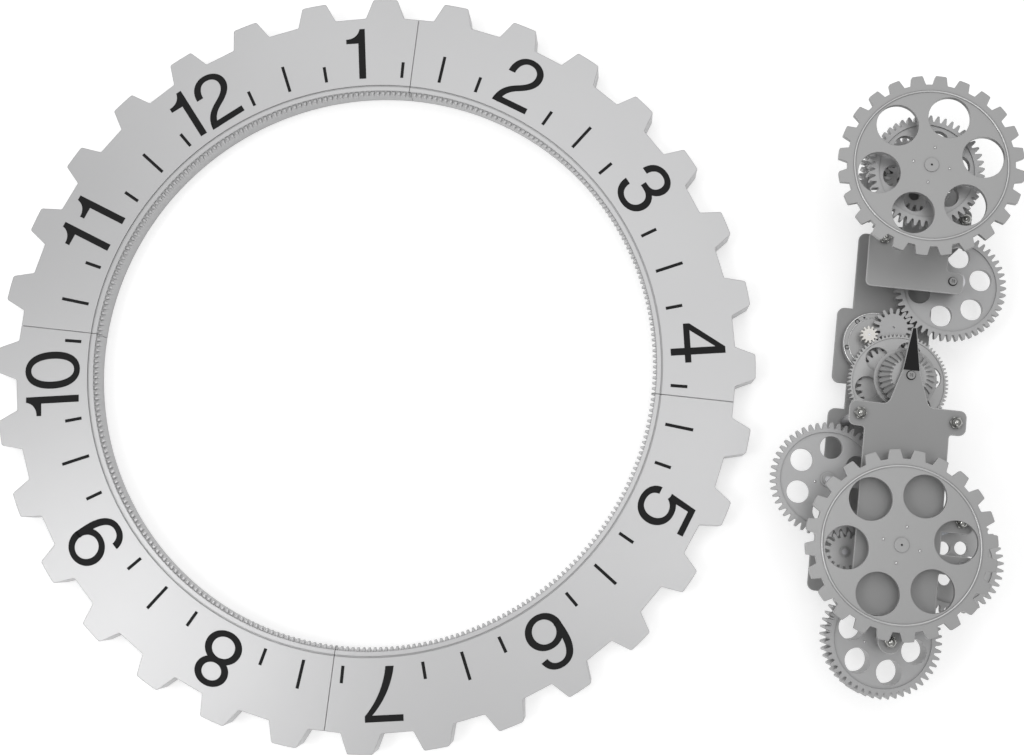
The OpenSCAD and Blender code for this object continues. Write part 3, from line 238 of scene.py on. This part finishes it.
nodeFinish = {                 # pieces that look different from the rest of their slot
    "pointer_plate": "pointerPaint", "left_pinion": "deepLitSilver", "idler_pinion": "deepLitSilver",
    "top_idler_pinion": "deepLitSilver", "top_middle_gear": "deepLitSilver",
    "lower_arbor_gears": "deepLitSilver", "right_gear": "deepLitSilver",
    "transfer_gear": "deepLitSilver", "pan_screws": "panSteel", "motor_screws": "panSteel",
    "stud_clips": "wheelSilver", "ring_pinion": "pinionSilver", "drive_wheel": "driveSilver",
}
slotFinish = {
    "ring_silver": "ringSilver", "gear_silver": "gearSilver", "wheel_silver": "wheelSilver",
    "plate_paint": "platePaint", "rear_paint": "rearPaint", "black_paint": "blackPaint",
    "steel": "steel", "zinc": "zinc", "screw": "screwSteel", "chrome": "chrome",
    "brass": "brass", "motor_shell": "motorShell", "white_plastic": "whitePlastic",
    "board": "board", "copper": "copper", "iron": "iron", "box_plastic": "boxPlastic",
    "cell_can": "cellCan", "contact": "contact",
}


surface = {                    # what all finishes share
    "coatRough": 0.25,
    "shine": 0.5,              # unless the finish has its own
    "cloudDetail": 3,
    "grainDetail": 2,
    "grainDeep": 0.05,         # mm
    "roughSpread": 0.06,       # how far the grain moves the roughness each way
    "edgeSamples": 4,
    "edgeTurn": 0.85,          # an edge that turns this far gets the whole painted highlight
    "nookSamples": 6,
    "nookReach": 2.5,          # mm
    "nookDark": 0.4,           # how much the painted shade darkens a deep corner
}


def toLinear(v):               # sRGB to the linear values that sockets take
    return v / 12.92 if v <= 0.04045 else ((v + 0.055) / 1.055) ** 2.4


def makeFinish(name):
    look = finishes[name]
    material = bpy.data.materials.new(name)
    material.use_nodes = True
    tree = material.node_tree
    link = tree.links.new
    shader = tree.nodes["Principled BSDF"]
    shader.inputs["Metallic"].default_value = look["metal"]
    shader.inputs["Coat Weight"].default_value = look["coat"]
    shader.inputs["Coat Roughness"].default_value = surface["coatRough"]
    shader.inputs["Specular IOR Level"].default_value = look.get("shine", surface["shine"])
    place = tree.nodes.new("ShaderNodeTexCoord")

    cloud = tree.nodes.new("ShaderNodeTexNoise")      # slow drift of the colour
    cloud.inputs["Scale"].default_value = 1000 / look["cloudSize"]
    cloud.inputs["Detail"].default_value = surface["cloudDetail"]
    link(place.outputs["Object"], cloud.inputs["Vector"])
    tint = tree.nodes.new("ShaderNodeMix")
    tint.data_type = "RGBA"
    base = [toLinear(c) for c in look["colour"]]
    # a share of the sRGB colour is about twice that share of the linear one
    for socket, shift in ((tint.inputs[6], -look["cloud"]), (tint.inputs[7], look["cloud"])):
        socket.default_value = [min(1, c * (1 + 2 * shift)) for c in base] + [1]
    link(cloud.outputs["Fac"], tint.inputs[0])
    grain = tree.nodes.new("ShaderNodeTexNoise")      # paint and casting grain
    grain.inputs["Scale"].default_value = 1000 / look["grainSize"]
    grain.inputs["Detail"].default_value = surface["grainDetail"]
    link(place.outputs["Object"], grain.inputs["Vector"])
    rough = tree.nodes.new("ShaderNodeMapRange")
    rough.inputs["To Min"].default_value = look["rough"] - surface["roughSpread"]
    rough.inputs["To Max"].default_value = look["rough"] + surface["roughSpread"]
    link(grain.outputs["Fac"], rough.inputs["Value"])
    link(rough.outputs["Result"], shader.inputs["Roughness"])

    edge = tree.nodes.new("ShaderNodeBevel")          # softened edges
    edge.samples = surface["edgeSamples"]
    edge.inputs["Radius"].default_value = look["edge"] * mm
    flat = tree.nodes.new("ShaderNodeNewGeometry")
    facing = tree.nodes.new("ShaderNodeVectorMath")
    facing.operation = "DOT_PRODUCT"
    link(edge.outputs["Normal"], facing.inputs[0])
    link(flat.outputs["Normal"], facing.inputs[1])
    edgeHighlight = tree.nodes.new("ShaderNodeMapRange")       # painted highlight: paler where rounded edges catch the light
    edgeHighlight.inputs["From Min"].default_value = 1.0
    edgeHighlight.inputs["From Max"].default_value = surface["edgeTurn"]
    edgeHighlight.inputs["To Max"].default_value = look.get("edgeLight", 0)
    link(facing.outputs["Value"], edgeHighlight.inputs["Value"])
    nook = tree.nodes.new("ShaderNodeAmbientOcclusion")       # painted shade: darker where pieces meet and in crevices
    nook.samples = surface["nookSamples"]
    nook.inputs["Distance"].default_value = surface["nookReach"] * mm
    shade = tree.nodes.new("ShaderNodeMapRange")
    shade.inputs["To Min"].default_value = 1 - surface["nookDark"]
    link(nook.outputs["AO"], shade.inputs["Value"])
    paintedShade = tree.nodes.new("ShaderNodeVectorMath")
    paintedShade.operation = "SCALE"
    link(tint.outputs[2], paintedShade.inputs[0])
    link(shade.outputs["Result"], paintedShade.inputs["Scale"])
    edgeHighlightMix = tree.nodes.new("ShaderNodeMix")
    edgeHighlightMix.data_type = "RGBA"
    edgeHighlightMix.inputs[7].default_value = (1, 1, 1, 1)
    link(edgeHighlight.outputs["Result"], edgeHighlightMix.inputs[0])
    link(paintedShade.outputs["Vector"], edgeHighlightMix.inputs[6])
    link(edgeHighlightMix.outputs[2], shader.inputs["Base Color"])
    bump = tree.nodes.new("ShaderNodeBump")
    bump.inputs["Strength"].default_value = look["grain"]
    bump.inputs["Distance"].default_value = surface["grainDeep"] * mm
    link(grain.outputs["Fac"], bump.inputs["Height"])
    link(edge.outputs["Normal"], bump.inputs["Normal"])
    link(bump.outputs["Normal"], shader.inputs["Normal"])
    return material


paints = {name: makeFinish(name) for name in finishes}
for part in frame["record"]["subparts"]:
    mesh = nodes[part["node"]].data
    mesh.materials.clear()
    finish = nodeFinish.get(part["node"], slotFinish[part["material_slot"]])
    mesh.materials.append(paints[finish])
print("gear clock: every node has its finish")


# numerals and minute bars on the ring's face, in mm
printing = {
    "hourCount": 12,
    "quarters": 4,             # bars' places in an hour, the first under the numeral
    "longQuarter": 2,
    "numeralRadius": 235.0,    # where the numerals' own zero lies
    "stem": 5.1,               # width of upright strokes
    "bar": 4.2,                # width of level strokes
    "proud": 0.12,             # how far the printing stands off the face
    "sunk": 0.05,
    "thinner": 0.03,           # share that each later stroke of a figure is thinner
    "tickIn": 210.9,
    "tickOut": 222.7,
    "longTickOut": 230.8,
    "tickWide": 2.2,
    "soft": 0.04,              # edge rounding of the bars
    "softSteps": 2,
    "curveSteps": 10,
    "weld": 0.005,             # points closer than this are one
}
six = ((10.1, 5.1), (9.3, 10.5, 5.3, 13.2, 0.3, 13.2), (-8, 13.2, -11.3, 5.5, -11.4, -4.5),
       (-11.45, -7, -11.4, -10, -11.0, -12.5))
bowl = (-0.4, -11.65, 10.95, 10.55, 0.56)
nineShift = (0.25, 9.3)        # the nine is the six turned half round and shifted
nine = tuple(tuple(-v - nineShift[i % 2] for i, v in enumerate(step)) for step in six)
# strokes follow a line, shapes are filled outlines, ovals are closed strokes;
# a step is a straight end point, or two handles and an end point
numerals = {
    0: {"ovals": ((0, -5.2, 10.8, 17.55, 0.62),)},
    1: {"shapes": (((1.6, 13.15), (-2.2, 13.15), (-3.2, 8.6, -6.6, 5.6, -12.25, 5.6),
                    (-12.25, 2.25), (-3.4, 2.25), (-3.4, -24.75), (1.6, -24.75)),)},
    2: {"strokes": (((-10.85, 0), (-10.85, 7.3, -6.3, 12, -0.5, 12), (5.5, 12, 9.8, 8.3, 9.8, 3),
                     (9.8, -3, 4.5, -6.5, -1, -9.5), (-7, -12.7, -11.2, -16.5, -11.9, -24.75)),),
        "shapes": (((-14.3, -24.75), (12.4, -24.75), (12.4, -20.3), (-13.4, -20.3)),)},
    3: {"strokes": (((-11.2, 2.6), (-11.2, 9, -6.8, 13, -1, 13), (4.8, 13, 8.3, 9.6, 8.3, 5.3),
                     (8.3, 0.5, 5, -3.5, -1, -3.5), (-3.9, -3.5)),
                    ((-3.9, -3.5), (-1, -3.5), (6, -3.5, 9.8, -7.5, 9.8, -12.3),
                     (9.8, -18, 5.5, -22.3, -1.1, -22.3),
                     (-7.6, -22.3, -11.9, -18, -11.9, -11.5)))},
    4: {"shapes": (((6.5, 14.1), (1.9, 14.1), (-15.9, -10.2), (-15.9, -14.6), (1.5, -14.6),
                    (1.5, -24.4), (6.5, -24.4), (6.5, -14.6), (12, -14.6), (12, -10.25),
                    (6.5, -10.25)),),
        "hole": ((1.5, -10.25), (-11, -10.25), (1.5, 7.25))},
    5: {"strokes": (((-11, -5.5), (-9, -2.2, -5.3, -0.1, -0.8, -0.1),
                     (5.4, -0.1, 9.7, -5, 9.7, -10.9), (9.7, -17.5, 5.3, -22.2, -1.2, -22.2),
                     (-7.5, -22.2, -11.8, -18.6, -11.8, -13.25)),),
        "shapes": (((-10.5, 14.25), (9.9, 14.25), (9.9, 9.9), (-7.1, 9.9), (-8.6, -5.5),
                    (-13.25, -5.5)),)},
    6: {"strokes": (six,), "ovals": (bowl,)},
    7: {"shapes": (((-13.1, 13.1), (13.5, 13.1), (13.5, 8.9), (7.5, 2.5, 0, -9, -1.75, -24.25),
                    (-7.5, -24.25), (-5.5, -10, 1.5, 1.5, 8.4, 8.6), (-13.1, 8.6)),)},
    8: {"ovals": ((-1.1, 4.8, 9.6, 8.2, 0.56), (-1, -12.9, 10.8, 9.5, 0.56))},
    9: {"strokes": (nine,),
        "ovals": ((-bowl[0] - nineShift[0], -bowl[1] - nineShift[1]) + bowl[2:],)},
}
hours = {                      # figures of each hour, with their shift across and up
    10: ((1, -12.2, 0.8), (0, 8.05, 0)),
    11: ((1, -11.2, 0.8), (1, 10.8, 0.8)),
    12: ((1, -13.85, 0.8), (2, 7.1, 0)),
}


def newCurve(name, flat):      # an empty curve, filled when flat
    bpy.ops.curve.primitive_bezier_curve_add(location=(0, 0, 0))
    line = bpy.context.object
    line.name = name
    line.data.splines.clear()
    line.data.dimensions = "2D" if flat else "3D"
    line.data.resolution_u = printing["curveSteps"]
    return line


def addSpline(line, steps, closed, squeeze=1.0):
    spline = line.data.splines.new("BEZIER")
    ends = [step[-2:] for step in steps]
    spline.bezier_points.add(len(ends) - 1)
    spline.use_cyclic_u = closed
    for i, point in enumerate(spline.bezier_points):
        after = steps[(i + 1) % len(steps)] if closed or i + 1 < len(steps) else ()
        here = ends[i]
        left = steps[i][2:4] if len(steps[i]) == 6 else here
        right = after[0:2] if len(after) == 6 else here
        point.handle_left_type = point.handle_right_type = "FREE"
        point.co = (here[0] * squeeze * mm, here[1] * mm, 0)
        point.handle_left = (left[0] * squeeze * mm, left[1] * mm, 0)
        point.handle_right = (right[0] * squeeze * mm, right[1] * mm, 0)


def toMesh(piece):
    bpy.ops.object.select_all(action="DESELECT")
    piece.select_set(True)
    bpy.context.view_layer.objects.active = piece
    bpy.ops.object.convert(target="MESH")
    bpy.ops.object.transform_apply(location=True, rotation=True, scale=True)
    return bpy.context.object


def cleanUp(piece):            # merge doubles and turn all faces outwards
    bpy.ops.object.select_all(action="DESELECT")
    piece.select_set(True)
    bpy.context.view_layer.objects.active = piece
    bpy.ops.object.mode_set(mode="EDIT")
    bpy.ops.mesh.select_all(action="SELECT")
    bpy.ops.mesh.remove_doubles(threshold=printing["weld"] * mm)
    bpy.ops.mesh.normals_make_consistent(inside=False)
    bpy.ops.object.mode_set(mode="OBJECT")
    return piece


def ovalSteps(x, y, rx, ry, fullness):
    a, b = rx * fullness, ry * fullness
    return ((x + a, y - ry, x + rx, y - b, x + rx, y), (x + rx, y + b, x + a, y + ry, x, y + ry),
            (x - a, y + ry, x - rx, y + b, x - rx, y), (x - rx, y - b, x - a, y - ry, x, y - ry))


def makeFigure(figure):
    parts = numerals[figure]
    thick = (printing["proud"] + printing["sunk"]) * mm
    squeeze = printing["bar"] / printing["stem"]
    made = []
    for outline in parts.get("shapes", ()):
        shape = newCurve("shape", True)
        addSpline(shape, outline, True)
        if "hole" in parts:
            addSpline(shape, parts["hole"], True)
        shape.data.fill_mode = "BOTH"
        shape.data.extrude = thick / 2
        made.append(cleanUp(toMesh(shape)))
    lines = [(steps, False) for steps in parts.get("strokes", ())]
    lines += [(ovalSteps(*oval), True) for oval in parts.get("ovals", ())]
    for steps, closed in lines:
        nib = newCurve("nib", True)
        half = printing["bar"] / 2
        # strokes that meet share no flat face
        rim = thick / 2 / mm * (1 - printing["thinner"] * len(made))
        addSpline(nib, ((-half, -rim), (half, -rim), (half, rim), (-half, rim)), True)
        stroke = newCurve("stroke", False)
        if closed:                  # an oval starts at its bottom
            steps = steps[1:] + steps[:1]
        addSpline(stroke, steps, closed, squeeze)
        stroke.data.twist_mode = "Z_UP"
        stroke.data.bevel_mode = "OBJECT"
        stroke.data.bevel_object = nib
        stroke.data.use_fill_caps = True
        stroke.scale.x = 1 / squeeze
        made.append(cleanUp(toMesh(stroke)))
        bpy.data.objects.remove(nib)
    whole = made[0]
    for extra in made[1:]:
        union = whole.modifiers.new("union", "BOOLEAN")
        union.operation = "UNION"
        union.solver = "EXACT"
        union.object = extra
        bpy.context.view_layer.objects.active = whole
        bpy.ops.object.modifier_apply(modifier=union.name)
        bpy.data.objects.remove(extra)
    return cleanUp(whole)


def copyOf(piece, name):
    twin = piece.copy()
    twin.data = piece.data.copy()
    twin.name = name
    bpy.context.scene.collection.objects.link(twin)
    return twin


def joinAll(pieces, name):
    bpy.ops.object.select_all(action="DESELECT")
    for piece in pieces:
        piece.select_set(True)
    bpy.context.view_layer.objects.active = pieces[0]
    if len(pieces) > 1:
        bpy.ops.object.join()
    bpy.ops.object.transform_apply(location=True, rotation=True, scale=True)
    bpy.context.object.name = bpy.context.object.data.name = name
    return bpy.context.object


def finishPiece(piece, paint, body):
    piece.data.materials.clear()
    piece.data.materials.append(paints[paint])
    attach(piece, body)
    return piece


def makeNumerals():
    figures = {n: makeFigure(n) for n in numerals}
    printHeight = layout["ringFace"] + (printing["proud"] - printing["sunk"]) / 2
    for hour in range(1, printing["hourCount"] + 1):
        angle = layout["twelve"] - 360 / printing["hourCount"] * hour
        turn = math.radians(angle - 90)        # a figure's own top is at 90 degrees
        row = []
        for figure, across, up in hours.get(hour, ((hour, 0, 0),)):
            twin = copyOf(figures[figure], "figure")
            across, up = across * mm, (printing["numeralRadius"] + up) * mm
            twin.location = (layout["ringX"] * mm + across * math.cos(turn) - up * math.sin(turn),
                             across * math.sin(turn) + up * math.cos(turn), printHeight * mm)
            twin.rotation_euler.z = turn
            row.append(twin)
        finishPiece(joinAll(row, "numeral%d" % hour), "blackPaint", "ring")
    for figure in figures.values():
        bpy.data.objects.remove(figure)


def makeBar(outer):             # a bar with softened edges, its foot at the ring's centre
    thick = printing["proud"] + printing["sunk"]
    length = outer - printing["tickIn"]
    bpy.ops.mesh.primitive_cube_add(size=1)
    bar = bpy.context.object
    bar.scale = (length * mm, printing["tickWide"] * mm, thick * mm)
    bar.location.x = (printing["tickIn"] + outer) / 2 * mm
    bpy.ops.object.transform_apply(location=True, rotation=True, scale=True)
    bpy.ops.object.mode_set(mode="EDIT")
    bpy.ops.mesh.select_all(action="SELECT")
    bpy.ops.mesh.bevel(offset=printing["soft"] * mm, segments=printing["softSteps"])
    bpy.ops.object.mode_set(mode="OBJECT")
    return bar


def makeMinuteBars():
    short = makeBar(printing["tickOut"])
    long = makeBar(printing["longTickOut"])
    height = layout["ringFace"] + (printing["proud"] - printing["sunk"]) / 2
    count = printing["hourCount"] * printing["quarters"]
    bars = []
    for step in range(count):
        quarter = step % printing["quarters"]
        if quarter == 0:
            continue                # the numeral's own place
        bar = copyOf(long if quarter == printing["longQuarter"] else short, "bar")
        bar.location = ringCentre(height)
        bar.rotation_euler.z = math.radians(layout["twelve"] - 360 / count * step)
        bars.append(bar)
    bpy.data.objects.remove(short)
    bpy.data.objects.remove(long)
    finishPiece(joinAll(bars, "minuteBars"), "blackPaint", "ring")


makeNumerals()
makeMinuteBars()
print("gear clock: the ring's face is printed")


# bright lines, pips, and dark rings and discs that paint the shade round screws and in hub holes;
# places are on the movement's own plan, in mm
bead = {"radius": 50.3, "half": 0.85, "flat": 0.7, "height": 89.38}
pips = {
    "radius": 0.85, "flat": 0.55, "height": 89.5, "circle": 12.0, "turns": (0, 90, 180, 270),
    "segments": 16, "rings": 8,
    "wheels": (("lower", (0, 0), -12.2, "lower_train"), ("top", (0, 250), -6.7, "top_train")),
    "gears": (("bottom", (-11.4, -64.35, 54.0), "bottom_gear_body"),
              ("lowerLeft", (-51.8, 37.25, 47.0), "lower_left")),
}
motorTrim = {
    "centre": (-16.5, 138.5), "top": 28.0,
    "rims": ((21.15, 0.45), (17.75, 0.3)), "rimFlat": 0.8,
    "screwCircle": 19.2, "screwTurns": (132.5, 194, 313), "screwShadeRing": (1.35, 0.3),
    "stop": (-24.9, 155.8), "stopRim": (0.35, 0.34), "darkFlat": 0.5,
}
panScrewShade = {"places": ((0, 111, 77.0), (28.4, 182.2, 51.5)), "radius": 2.75, "half": 0.4,
           "flat": 0.6}
# dark discs in the holes of the wheels' hub caps: painted shade of the holes
holeShade = {"radius": 0.69, "high": 0.5, "bevel": 0.15, "bevelSteps": 3, "top": 89.8,
           "segments": 24}
bandSteps = {"large": 144, "small": 32, "tiny": 24, "section": 12}     # points round a band


def flatten(piece, share):     # squeeze a piece towards its own middle, from above
    bpy.ops.object.mode_set(mode="EDIT")
    bpy.ops.mesh.select_all(action="SELECT")
    bpy.ops.transform.resize(value=(1, 1, share))
    bpy.ops.object.mode_set(mode="OBJECT")
    bpy.ops.object.shade_smooth()
    return piece


def makeBand(radius, half, share, size):
    bpy.ops.mesh.primitive_torus_add(major_radius=radius * mm, minor_radius=half * mm,
                                     major_segments=bandSteps[size],
                                     minor_segments=bandSteps["section"])
    return flatten(bpy.context.object, share)


def makePip():
    bpy.ops.mesh.primitive_uv_sphere_add(segments=pips["segments"], ring_count=pips["rings"],
                                         radius=pips["radius"] * mm)
    return flatten(bpy.context.object, pips["flat"])


def makeHoleShade():
    bpy.ops.mesh.primitive_cylinder_add(vertices=holeShade["segments"],
                                        radius=holeShade["radius"] * mm,
                                        depth=holeShade["high"] * mm)
    shadeDisc = bpy.context.object
    rounding = shadeDisc.modifiers.new("rounding", "BEVEL")
    rounding.width = holeShade["bevel"] * mm
    rounding.segments = holeShade["bevelSteps"]
    bpy.ops.object.modifier_apply(modifier=rounding.name)
    return shadeDisc


def putCopies(first, places, name):      # one piece made of copies of the first
    row = []
    for place in places:
        twin = copyOf(first, name)
        twin.location = place
        row.append(twin)
    bpy.data.objects.remove(first)
    return joinAll(row, name)


def around(centre, circle, turns, z):
    angles = [math.radians(turn) for turn in turns]
    return [movePoint(centre[0] + circle * math.cos(a), centre[1] + circle * math.sin(a), z)
            for a in angles]


def makeWheelTrim():
    band = makeBand(bead["radius"], bead["half"], bead["flat"], "large")
    pip = makePip()
    shadeDisc = makeHoleShade()
    for word, centre, turn, body in pips["wheels"]:
        line = putCopies(copyOf(band, "line"), [movePoint(*centre, bead["height"])], word + "Bead")
        finishPiece(line, "bead", body)
        turns = [turn + quarter for quarter in pips["turns"]]
        places = around(centre, pips["circle"], turns, pips["height"])
        dots = putCopies(copyOf(pip, "dot"), places, word + "Pips")
        finishPiece(dots, "rimBright", body)
        # a dark disc in the hub cap's hole: painted shade
        place = movePoint(*centre, holeShade["top"] - holeShade["high"] / 2)
        dot = putCopies(copyOf(shadeDisc, "dot"), [place], word + "HoleShade")
        finishPiece(dot, "screwSteel", body)
    for word, place, body in pips["gears"]:
        dot = putCopies(copyOf(pip, "dot"), [movePoint(*place)], word + "Pip")
        finishPiece(dot, "rimBright", body)
    for first in (band, pip, shadeDisc):
        bpy.data.objects.remove(first)


def makeMotorTrim():
    centre, top = motorTrim["centre"], motorTrim["top"]
    # two pale bright rings on the cover's rim and groove: painted highlights
    rims = [makeBand(*rim, motorTrim["rimFlat"], "large") for rim in motorTrim["rims"]]
    for rim in rims:
        rim.location = movePoint(*centre, top)
    finishPiece(joinAll(rims, "motorRimHighlights"), "rimBright", "frame")
    # dark rings round the motor's screws: painted shade in their recesses
    rim = makeBand(*motorTrim["screwShadeRing"], motorTrim["darkFlat"], "small")
    places = around(centre, motorTrim["screwCircle"], motorTrim["screwTurns"], top)
    finishPiece(putCopies(rim, places, "motorScrewShade"), "blackPaint", "frame")
    rim = makeBand(*motorTrim["stopRim"], motorTrim["darkFlat"], "tiny")
    stop = putCopies(rim, [movePoint(*motorTrim["stop"], top)], "motorStop")
    finishPiece(stop, "blackPaint", "frame")


def makePanScrewShade():
    # dark steel rings round the pan screws' heads: painted shade at their rims
    rim = makeBand(panScrewShade["radius"], panScrewShade["half"], panScrewShade["flat"], "small")
    places = [movePoint(*place) for place in panScrewShade["places"]]
    finishPiece(putCopies(rim, places, "panScrewShade"), "screwSteel", "frame")


makeWheelTrim()
makeMotorTrim()
makePanScrewShade()
print("gear clock: beads, pips and rims are on")
